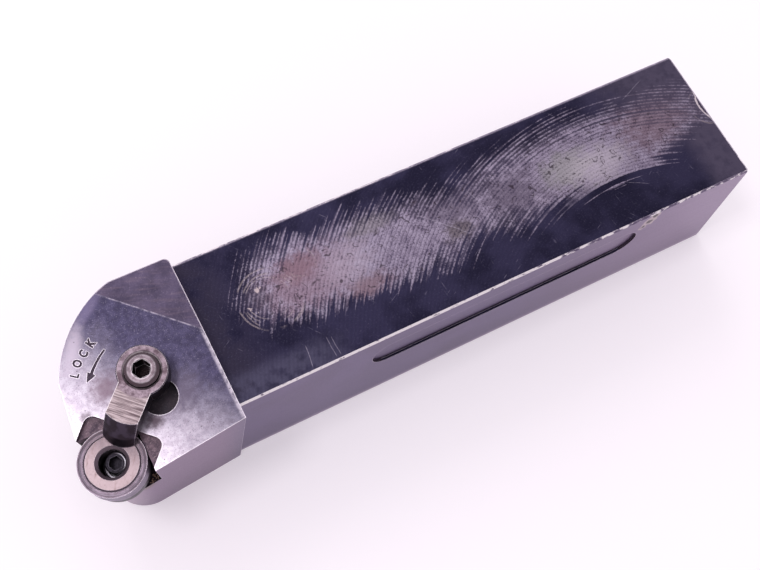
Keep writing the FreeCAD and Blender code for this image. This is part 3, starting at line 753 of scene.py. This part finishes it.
# Painted shade: the deeper below the facet, the darker.
sunk = add(tree, "VectorMath DOT_PRODUCT", mm, tuple(RAKE_NORMAL))
floor_level = FACET_POINT.dot(RAKE_NORMAL) / MM
colour = add(
    tree,
    "Mix RGBA",
    add(tree, "MapRange SMOOTHSTEP", sunk, floor_level - 1.6, floor_level - 4.5, 0.0, 0.9),
    colour,
    linear("191518"),
)
# Painted shade under the clamp: the floor round the recess is darker.
from_recess = add(tree, "VectorMath DISTANCE", mm, (-10.0, -6.0, 28.0))
colour = add(
    tree,
    "Mix RGBA",
    add(tree, "MapRange SMOOTHSTEP", from_recess, 8.5, 7.0, 0.0, 0.8),
    colour,
    linear("36343A"),
)
steel(tree, colour, add(tree, "MapRange SMOOTHSTEP", cloud, 0.3, 0.7, 0.5, 0.65), fine, 0.02)

# Stamped marks: pressed cold into the steel, dark with old oil. The same dark steel lies on the side slot's
# lower and end walls as painted shade.
stamp_and_slot_shade_steel, tree = new_material("stamped_steel_and_slot_shade")
mm = millimetres(tree)
fine = add(tree, "TexNoise", mm, 4.0, 3.0, 0.7)
colour = mottled(tree, fine, 0.35, 0.7, "3A313E", "655866")
steel(tree, colour, add(tree, "MapRange SMOOTHSTEP", fine, 0.3, 0.7, 0.5, 0.65), fine, 0.01)

ZONES = [oxide_top, corner_steel, ground_side, crown_steel, facet_steel, pocket_steel, stamp_and_slot_shade_steel]

# The word LOCK and its arrow show which way the pin turns. They are stamped 0.2 mm deep.
STAMP_DEPTH = 0.2 * MM
LETTER_SIZE = 2.05 * MM
LETTER_STRETCH = (0.86, 1.1, 1.0, 1.0)
stamps = []


def stamp(mesh, place, turn):
    """Stands a flat stamp, drawn in millimetres, on the rake facet."""
    lay = Matrix.Translation(FACET_POINT) @ Matrix((RAKE_X, RAKE_Y, RAKE_NORMAL)).transposed().to_4x4()
    mesh.transform(
        lay @ Matrix.Translation((place[0] * MM, place[1] * MM, 0.0)) @ Matrix.Rotation(turn, 4, "Z")
    )
    piece = bpy.data.objects.new("stamp", mesh)
    scene.collection.objects.link(piece)
    stamps.append(piece)


def on_facet(x, y):
    """A point of the top view, in millimetres, as distances along the facet from the insert's centre."""
    across, along = x - INSERT_CENTRE[0], y - INSERT_CENTRE[1]
    drop = -(RAKE_NORMAL.x * across + RAKE_NORMAL.y * along) / RAKE_NORMAL.z
    away = Vector((across, along, drop))
    return away.dot(RAKE_X), away.dot(RAKE_Y)


for letter, x, y, turn, bold in (
    ("L", -24.6, 1.93, 50, 0.07),
    ("O", -23.28, 3.75, 46, 0.1),
    ("C", -21.55, 4.97, 38, 0.1),
    ("K", -19.66, 6.2, 29, 0.12),
):
    curve = bpy.data.curves.new("letter", "FONT")
    curve.body = letter
    curve.size = LETTER_SIZE
    curve.extrude = STAMP_DEPTH
    curve.offset = bold * MM
    curve.align_x = "CENTER"
    curve.align_y = "CENTER"
    holder_of_curve = bpy.data.objects.new("letter", curve)
    scene.collection.objects.link(holder_of_curve)
    mesh = bpy.data.meshes.new_from_object(
        holder_of_curve.evaluated_get(bpy.context.evaluated_depsgraph_get())
    )
    bpy.data.objects.remove(holder_of_curve)
    mesh.transform(Matrix.Diagonal(LETTER_STRETCH))
    stamp(mesh, on_facet(x, y), math.radians(turn))

# The arrow's shaft widens from its tail to its head.
ARROW_TIP = (-23.25, -0.25)
HALF_WIDTH_AT_TAIL = 0.19
HALF_WIDTH_GAINED = 0.1
HALF_WIDTH_OF_HEAD = 0.84
ARROW = [(-17.85, 4.05), (-19.0, 3.35), (-20.2, 2.45), (-21.15, 1.6), (-21.75, 0.95)]
outline = []
for i, (x, y) in enumerate(ARROW):
    before = Vector(ARROW[max(i - 1, 0)])
    after = Vector(ARROW[min(i + 1, len(ARROW) - 1)])
    along = (after - before).normalized()
    side = Vector((-along.y, along.x)) * (HALF_WIDTH_AT_TAIL + HALF_WIDTH_GAINED * i / 4)
    outline.append((Vector((x, y)) + side, Vector((x, y)) - side))
tip = Vector(ARROW_TIP)
along = (tip - Vector(ARROW[-1])).normalized()
barb = Vector((-along.y, along.x)) * HALF_WIDTH_OF_HEAD
root = Vector(ARROW[-1]) + along * 0.05
loop = [a for a, b in outline] + [root + barb, tip, root - barb]
loop += [b for a, b in reversed(outline)]
flat = bmesh.new()
corners = [flat.verts.new((*[v * MM for v in on_facet(*p)], -STAMP_DEPTH)) for p in loop]
face = flat.faces.new(corners)
grown = bmesh.ops.extrude_face_region(flat, geom=[face])
raised = [part for part in grown["geom"] if isinstance(part, bmesh.types.BMVert)]
bmesh.ops.translate(flat, verts=raised, vec=(0.0, 0.0, 2 * STAMP_DEPTH))
bmesh.ops.recalc_face_normals(flat, faces=flat.faces)
arrow_mesh = bpy.data.meshes.new("arrow")
flat.to_mesh(arrow_mesh)
flat.free()
stamp(arrow_mesh, (0.0, 0.0), 0.0)

for mesh in [holder.data] + [piece.data for piece in stamps]:
    mesh.materials.clear()
for material in ZONES:
    holder.data.materials.append(material)
for piece in stamps:
    piece.data.materials.append(stamp_and_slot_shade_steel)
    cut = holder.modifiers.new("stamp", "BOOLEAN")
    cut.operation = "DIFFERENCE"
    cut.solver = "EXACT"
    cut.material_mode = "TRANSFER"
    cut.object = piece
settled = bpy.context.evaluated_depsgraph_get()
stamped = bpy.data.meshes.new_from_object(holder.evaluated_get(settled))
holder.modifiers.clear()
for piece in stamps:
    bpy.data.objects.remove(piece)
holder.data = stamped
zone_of = {m.name: i for i, m in enumerate(stamped.materials)}
# The pocket and the recess are cut within these reaches of the insert's and the clamp's centres.
CUTS = ((Vector(INSERT_CENTRE).xy, 9.4), (Vector((-13.2, -3.8)), 8.4))
LETTERS_CENTRE = Vector((-21.0, 3.0))
LETTERS_REACH = 7.0
for polygon in stamped.polygons:
    centre = polygon.center / MM
    lean = polygon.normal.dot(RAKE_NORMAL)
    depth = (FACET_POINT / MM - centre).dot(RAKE_NORMAL)
    near_cut = [centre.xy - middle for middle, reach in CUTS if (centre.xy - middle).length < reach]
    by_letters = (centre.xy - LETTERS_CENTRE).length < LETTERS_REACH
    facing_in = any(polygon.normal.xy.dot(out) < 0.0 for out in near_cut)
    if centre.x > 0.0 and polygon.normal.z > 0.9:
        zone = oxide_top
    # The side slot's lower and end walls take the dark stamp steel as painted shade with oil; its upper
    # wall stays ground steel.
    elif centre.x > 20.0 and -15.86 < centre.y < -15.0 and abs(polygon.normal.y) < 0.5 and centre.z < 28.0:
        zone = stamp_and_slot_shade_steel if polygon.normal.z > -0.3 else ground_side
    elif centre.x > 0.0 and polygon.normal.z > 0.3:
        zone = corner_steel
    elif abs(depth) < 0.02 and lean > 0.999:
        zone = facet_steel
    elif polygon.normal.z > 0.99999 and centre.z > 36.0:
        zone = crown_steel
    elif 0.02 < depth < 0.3 and centre.x < -16.0 and centre.y > -2.0 and by_letters:
        zone = stamp_and_slot_shade_steel
    elif centre.x < 0.0 and near_cut and (lean > 0.99 or (abs(lean) < 0.02 and facing_in)):
        zone = pocket_steel
    else:
        zone = ground_side
    polygon.material_index = zone_of[zone.name]
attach(holder, "holder")
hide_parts("holder_body")


# Seat shim: a flat ring of plain carbide under the insert, dull grey and oily, held by the lock pin.
shim_carbide, tree = new_material("ground_carbide_shim")
mm = millimetres(tree)
cloud = add(tree, "TexNoise", mm, 0.6, 4.0, 0.6)
fine = add(tree, "TexNoise", mm, 4.0, 3.0, 0.7)
colour = mottled(tree, cloud, 0.35, 0.65, "4A434C", "6E6870")
colour = add(tree, "Mix RGBA", worn_edges(tree, 0.15, mm, 0.06), colour, linear("A49AA6"))
steel(tree, colour, add(tree, "MapRange SMOOTHSTEP", fine, 0.2, 0.8, 0.4, 0.55), fine, 0.008)
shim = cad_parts["shim_seat"]
shim.data.materials.clear()
shim.data.materials.append(shim_carbide)


# Round insert: pressed and sintered carbide with a moulded chip groove inside its cutting edge.
# The flat round the hole is rubbed bright by the chips and by the clamp's nose.
def from_axis(tree, mm, point):
    """Distance in millimetres from an axis that stands square on the rake plane."""
    turn = Matrix((RAKE_X, RAKE_Y, RAKE_NORMAL)).transposed().to_euler()
    local = add(tree, "Mapping TEXTURE", mm, tuple(v / MM for v in point), tuple(turn), (1.0, 1.0, 1.0))
    flat = add(tree, "VectorMath MULTIPLY", local, (1.0, 1.0, 0.0))
    reach = add(tree, "VectorMath LENGTH", flat)
    height = add(tree, "SeparateXYZ", local).node.outputs
    return reach, height["Z"], local


insert_carbide, tree = new_material("sintered_carbide_insert")
mm = millimetres(tree)
radius, height_up, local = from_axis(tree, mm, INSERT_TOP)
cloud = add(tree, "TexNoise", mm, 0.5, 4.0, 0.6)
fine = add(tree, "TexNoise", mm, 3.5, 4.0, 0.7)
colour = mottled(tree, cloud, 0.35, 0.65, "6F616C", "8C7C8B")
# Rings out from the axis: the bore, painted near black as shade; the chamfer; the land; the chip groove; a
# thin pale ring further out.
for inner, outer, code in (
    (0.0, 2.62, "1E1A20"),
    (2.62, 3.2, "7A6A76"),
    (3.2, 4.95, "A9959A"),
    (4.95, 5.35, "645763"),
    (5.78, 5.92, "A99BAA"),
):
    ring = add(tree, "MapRange SMOOTHSTEP", radius, outer + 0.06, outer - 0.06)
    if inner > 0.0:
        past_inner = add(tree, "MapRange SMOOTHSTEP", radius, inner - 0.06, inner + 0.06)
        ring = add(tree, "Math MULTIPLY", past_inner, ring)
    colour = add(
        tree,
        "Mix RGBA",
        add(tree, "Math MULTIPLY", ring, add(tree, "MapRange SMOOTHSTEP", cloud, 0.1, 0.5, 0.75, 1.0)),
        colour,
        linear(code),
    )
# Painted shade: the top grows duller and darker towards its far side and the shank.
to_corner = add(tree, "VectorMath DOT_PRODUCT", local, (0.6, 0.8, 0.0))
dull = add(
    tree,
    "Math MULTIPLY",
    add(tree, "MapRange SMOOTHSTEP", to_corner, -1.0, 4.0),
    add(tree, "MapRange SMOOTHSTEP", cloud, 0.25, 0.6, 0.4, 0.8),
)
colour = add(tree, "Mix RGBA", dull, colour, linear("75666E"))
flat_ring = add(
    tree,
    "Math MULTIPLY",
    add(tree, "MapRange SMOOTHSTEP", radius, 3.1, 3.3),
    add(tree, "MapRange SMOOTHSTEP", radius, 5.0, 4.9),
)
streaks = add(
    tree,
    "TexNoise",
    add(tree, "Mapping TEXTURE", mm, (0.0, 0.0, 0.0), (0.0, 0.0, 0.9), (2.6, 0.5, 1.0)),
    1.0,
    4.0,
    0.7,
)
colour = add(
    tree,
    "Mix RGBA",
    add(tree, "Math MULTIPLY", flat_ring, add(tree, "MapRange SMOOTHSTEP", streaks, 0.5, 0.72, 0.0, 0.6)),
    colour,
    linear("81696C"),
)
side_face = add(tree, "MapRange SMOOTHSTEP", height_up, -0.12, -0.45)
outside = add(tree, "Math MULTIPLY", side_face, add(tree, "MapRange SMOOTHSTEP", radius, 5.6, 5.9))
colour = add(tree, "Mix RGBA", outside, colour, mottled(tree, cloud, 0.3, 0.7, "776A7E", "94869A"))
colour = coats(
    tree,
    colour,
    (add(tree, "Math MULTIPLY", add(tree, "MapRange SMOOTHSTEP", fine, 0.54, 0.78), 0.42), "5E5058"),
    (worn_edges(tree, 0.12, mm, 0.05), "E4DAE6"),
)
steel(tree, colour, add(tree, "MapRange SMOOTHSTEP", fine, 0.2, 0.8, 0.4, 0.52), fine, 0.006)
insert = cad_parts["insert"]
insert.data.materials.clear()
insert.data.materials.append(insert_carbide)


# Lock pin: a turned and blackened alloy steel pin with a hexagon socket, rubbed bright on its rim and
# lightened there by a painted highlight.
PIN_AXIS = Vector((-24.7805, -15.7255, 32.3115)) * MM
pin_steel, tree = new_material("blackened_pin_steel")
mm = millimetres(tree)
fine = add(tree, "TexNoise", mm, 3.0, 4.0, 0.7)
radius, _, _ = from_axis(tree, mm, PIN_AXIS)
colour = mottled(tree, fine, 0.35, 0.7, "1B181D", "343038")
# The rim ring: wear with a painted highlight.
rim = add(
    tree,
    "Math MULTIPLY",
    add(tree, "MapRange SMOOTHSTEP", radius, 1.85, 2.0),
    add(tree, "MapRange SMOOTHSTEP", radius, 2.25, 2.15),
)
colour = coats(tree, colour, (rim, "C4BDC8"), (worn_edges(tree, 0.14, mm, 0.05), "5E5862"))
steel(tree, colour, add(tree, "MapRange SMOOTHSTEP", fine, 0.2, 0.8, 0.35, 0.5), fine, 0.008)
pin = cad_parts["lock_pin"]
pin.data.materials.clear()
pin.data.materials.append(pin_steel)


# Finger clamp: an investment-cast steel finger, its back ground in lines across, its nose and sloping sides
# darker.
# Handling has worn its boss to a brown-pink grey with bright worn edges; painted highlights ring its
# counterbore and follow the nose's creases.
clamp_steel, tree = new_material("cast_steel_clamp")
mm = millimetres(tree)
CLAMP_AXIS = Vector((-13.1894, -3.8144, 34.3667)) * MM
radius, _, local = from_axis(tree, mm, CLAMP_AXIS)
cloud = add(tree, "TexNoise", mm, 0.6, 4.0, 0.6)
fine = add(tree, "TexNoise", mm, 3.5, 4.0, 0.7)
lines = add(
    tree,
    "TexNoise",
    add(tree, "Mapping TEXTURE", local, (0.0, 0.0, 0.0), (0.0, 0.0, math.radians(-45)), (7.0, 0.24, 6.0)),
    1.0,
    4.0,
    0.7,
)
colour = mottled(tree, cloud, 0.35, 0.65, "5E4D56", "A08D99")
colour = add(
    tree,
    "Mix RGBA",
    add(tree, "Math MULTIPLY", add(tree, "MapRange SMOOTHSTEP", fine, 0.5, 0.3), 0.6),
    colour,
    linear("43363C"),
)
finger = add(tree, "MapRange SMOOTHSTEP", radius, 4.9, 5.4)
ground = mottled(tree, lines, 0.35, 0.65, "5C4C52", "B1A0A4")
flat = add(tree, "NewGeometry").node.outputs["True Normal"]
up = add(tree, "VectorMath DOT_PRODUCT", flat, tuple(RAKE_NORMAL))
on_top = add(tree, "MapRange SMOOTHSTEP", up, 0.85, 0.97)
colour = add(tree, "Mix RGBA", add(tree, "Math MULTIPLY", finger, on_top), colour, ground)
# The sloping faces and the nose are darker than the ground top.
slopes = add(tree, "Math SUBTRACT", 1.0, on_top)
slope_tone = mottled(tree, add(tree, "TexNoise", mm, 0.4, 2.0, 0.55), 0.42, 0.6, "342C34", "463D4A")
colour = add(tree, "Mix RGBA", slopes, colour, slope_tone)
# Painted highlight along the creases of the sloping nose.
nose_crease_highlight = add(
    tree, "Math MULTIPLY", worn_edges(tree, 0.7, mm, 0.03), add(tree, "Math MULTIPLY", slopes, 0.6)
)
colour = add(tree, "Mix RGBA", nose_crease_highlight, colour, linear("8A7F94"))
# Painted highlight: a thin bright ring round the counterbore on the boss's top.
edge = add(
    tree,
    "Math MULTIPLY",
    add(
        tree,
        "MapRange SMOOTHSTEP",
        add(tree, "Math ABSOLUTE", add(tree, "Math SUBTRACT", radius, 3.42)),
        0.2,
        0.08,
    ),
    on_top,
)
colour = coats(
    tree,
    colour,
    (
        add(tree, "Math MULTIPLY", edge, add(tree, "MapRange SMOOTHSTEP", cloud, 0.35, 0.6, 0.3, 0.9)),
        "D8CDD0",
    ),
    (
        add(
            tree,
            "Math MULTIPLY",
            add(tree, "Math MULTIPLY", add(tree, "MapRange SMOOTHSTEP", fine, 0.56, 0.8), on_top),
            0.4,
        ),
        "B9AAAE",
    ),
    (worn_edges(tree, 0.3, mm, 0.06), "DDD2D8"),
)
height = add(tree, "Math ADD", lines, add(tree, "Math MULTIPLY", fine, 0.7))
steel(tree, colour, add(tree, "MapRange SMOOTHSTEP", cloud, 0.3, 0.7, 0.35, 0.5), height, 0.012)
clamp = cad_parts["clamp"]
clamp.data.materials.clear()
clamp.data.materials.append(clamp_steel)


# Clamp screw: a socket screw of hardened steel, its black worn off the flat rim round the hexagon.
screw_steel, tree = new_material("hardened_screw_steel")
mm = millimetres(tree)
radius, _, _ = from_axis(tree, mm, CLAMP_AXIS)
cloud = add(tree, "TexNoise", mm, 0.8, 3.0, 0.55)
fine = add(tree, "TexNoise", mm, 4.0, 4.0, 0.7)
rim = add(
    tree,
    "Math MULTIPLY",
    add(tree, "MapRange SMOOTHSTEP", radius, 1.7, 1.9),
    add(tree, "MapRange SMOOTHSTEP", radius, 2.66, 2.5),
)
colour = mottled(tree, radius, 1.75, 1.6, "5A4C52", "1A1416")
colour = add(tree, "Mix RGBA", rim, colour, mottled(tree, cloud, 0.3, 0.7, "6A5B63", "96868F"))
colour = add(
    tree,
    "Mix RGBA",
    add(tree, "Math MULTIPLY", add(tree, "MapRange SMOOTHSTEP", fine, 0.52, 0.75), 0.55),
    colour,
    linear("5C4C52"),
)
# Painted highlights: thin bright rings at the socket's edge and at the head's outer edge.
for reach in (1.86, 2.58):
    shine = add(
        tree,
        "MapRange SMOOTHSTEP",
        add(tree, "Math ABSOLUTE", add(tree, "Math SUBTRACT", radius, reach)),
        0.16,
        0.06,
    )
    colour = add(
        tree,
        "Mix RGBA",
        add(tree, "Math MULTIPLY", shine, add(tree, "MapRange SMOOTHSTEP", cloud, 0.35, 0.65, 0.15, 0.7)),
        colour,
        linear("CFC3CA"),
    )
colour = add(tree, "Mix RGBA", worn_edges(tree, 0.12, mm, 0.06), colour, linear("D8CED6"))
steel(tree, colour, add(tree, "MapRange SMOOTHSTEP", fine, 0.2, 0.8, 0.32, 0.48), fine, 0.008)
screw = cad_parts["clamp_screw"]
screw.data.materials.clear()
screw.data.materials.append(screw_steel)


# Loose bits that years of use leave: burrs raised along the bar's near top edge, and grains of
# brown oily dirt in the seat's open corner and on the chip relief.
# Both are small rough grains strewn over a patch of the surface that carries them.
strew = bpy.data.node_groups.new("strewn_grains", "GeometryNodeTree")
sockets = {}
for label, kind in (
    ("Patch", "Geometry"),
    ("Per square millimetre", "Float"),
    ("Grain size", "Float"),
    ("Flatness", "Float"),
    ("Seed", "Int"),
    ("Material", "Material"),
):
    socket = strew.interface.new_socket(name=label, in_out="INPUT", socket_type="NodeSocket" + kind)
    sockets[label] = socket.identifier
strew.interface.new_socket(name="Grains", in_out="OUTPUT", socket_type="NodeSocketGeometry")
given = strew.nodes.new("NodeGroupInput").outputs
per_metre = add(strew, "Math MULTIPLY", given["Per square millimetre"], 1.0e6)
spots = {"Mesh": given["Patch"], "Density": per_metre, "Seed": given["Seed"]}
points = add(strew, "GeometryNodeDistributePointsOnFaces", links=spots).node.outputs
ball = add(strew, "GeometryNodeMeshIcoSphere", links={"Radius": given["Grain size"], "Subdivisions": 1})
least, most = (0.35, 0.35, 0.35), (1.5, 1.0, 0.8)
spread = add(
    strew, "FunctionNodeRandomValue", least, most, links={"Seed": given["Seed"]}, data_type="FLOAT_VECTOR"
)
squash = add(strew, "CombineXYZ", 1.0, 1.0, given["Flatness"])
grain_scale = add(strew, "VectorMath MULTIPLY", spread, squash)
least, most = (-0.3, -0.3, -3.1), (0.3, 0.3, 3.1)
roll = add(strew, "FunctionNodeRandomValue", least, most, data_type="FLOAT_VECTOR")
turn = add(strew, "FunctionNodeRotateRotation", points["Rotation"], roll)
grains = {"Points": points["Points"], "Instance": ball, "Rotation": turn, "Scale": grain_scale}
placed = add(strew, "GeometryNodeInstanceOnPoints", links=grains)
real = add(strew, "GeometryNodeRealizeInstances", placed)
finished = add(strew, "GeometryNodeSetMaterial", links={"Geometry": real, "Material": given["Material"]})
strew.links.new(finished, strew.nodes.new("NodeGroupOutput").inputs[0])

burr_steel, tree = new_material("bright_burr_steel")
mm = millimetres(tree)
fine = add(tree, "TexNoise", mm, 4.0, 3.0, 0.7)
colour = mottled(tree, fine, 0.35, 0.65, "A799A8", "EDE3EC")
steel(tree, colour, add(tree, "MapRange SMOOTHSTEP", fine, 0.2, 0.8, 0.3, 0.45), fine, 0.01)

brown_dirt, tree = new_material("oily_brown_dirt")
mm = millimetres(tree)
fine = add(tree, "TexNoise", mm, 3.0, 3.0, 0.7)
colour = mottled(tree, fine, 0.35, 0.65, "4A3430", "B08C78")
steel(tree, colour, add(tree, "MapRange SMOOTHSTEP", fine, 0.2, 0.8, 0.6, 0.85), fine, 0.03, 0.0)


def strewn(name, corners, body, sizes):
    """Strews grains over one patch, given by its corners in millimetres, and fixes them to a body."""
    patch = bpy.data.meshes.new(name)
    patch.from_pydata(
        [tuple(c * MM for c in corner) for corner in corners], [], [tuple(range(len(corners)))]
    )
    piece = bpy.data.objects.new(name, patch)
    scene.collection.objects.link(piece)
    modifier = piece.modifiers.new("strew", "NODES")
    modifier.node_group = strew
    for label, value in sizes.items():
        modifier[sockets[label]] = value
    piece.data = bpy.data.meshes.new_from_object(piece.evaluated_get(bpy.context.evaluated_depsgraph_get()))
    piece.modifiers.clear()
    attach(piece, body)


strewn(
    "near_edge_burrs",
    [(1.5, -15.86, 31.42), (80.0, -15.86, 31.42), (80.0, -15.62, 31.68), (1.5, -15.62, 31.68)],
    "holder",
    {
        "Per square millimetre": 1.1,
        "Grain size": 0.11 * MM,
        "Flatness": 0.6,
        "Seed": 3,
        "Material": burr_steel,
    },
)

# Both patches of dirt are given along the rake plane from the insert's centre.
for name, spots, depth, many, seed in (
    ("dirt_by_seat", [(3.9, -4.95), (5.9, -4.85), (6.2, -3.6), (5.5, -3.2), (4.7, -4.2)], -9.45, 14.0, 5),
    ("dirt_in_relief", [(6.2, 5.6), (4.2, 6.5), (4.9, 6.9), (7.0, 4.6)], -0.8, 3.0, 8),
):
    strewn(
        name,
        [INSERT_TOP / MM + RAKE_X * u + RAKE_Y * v + RAKE_NORMAL * depth for u, v in spots],
        "holder",
        {
            "Per square millimetre": many,
            "Grain size": 0.16 * MM,
            "Flatness": 0.7,
            "Seed": seed,
            "Material": brown_dirt,
        },
    )
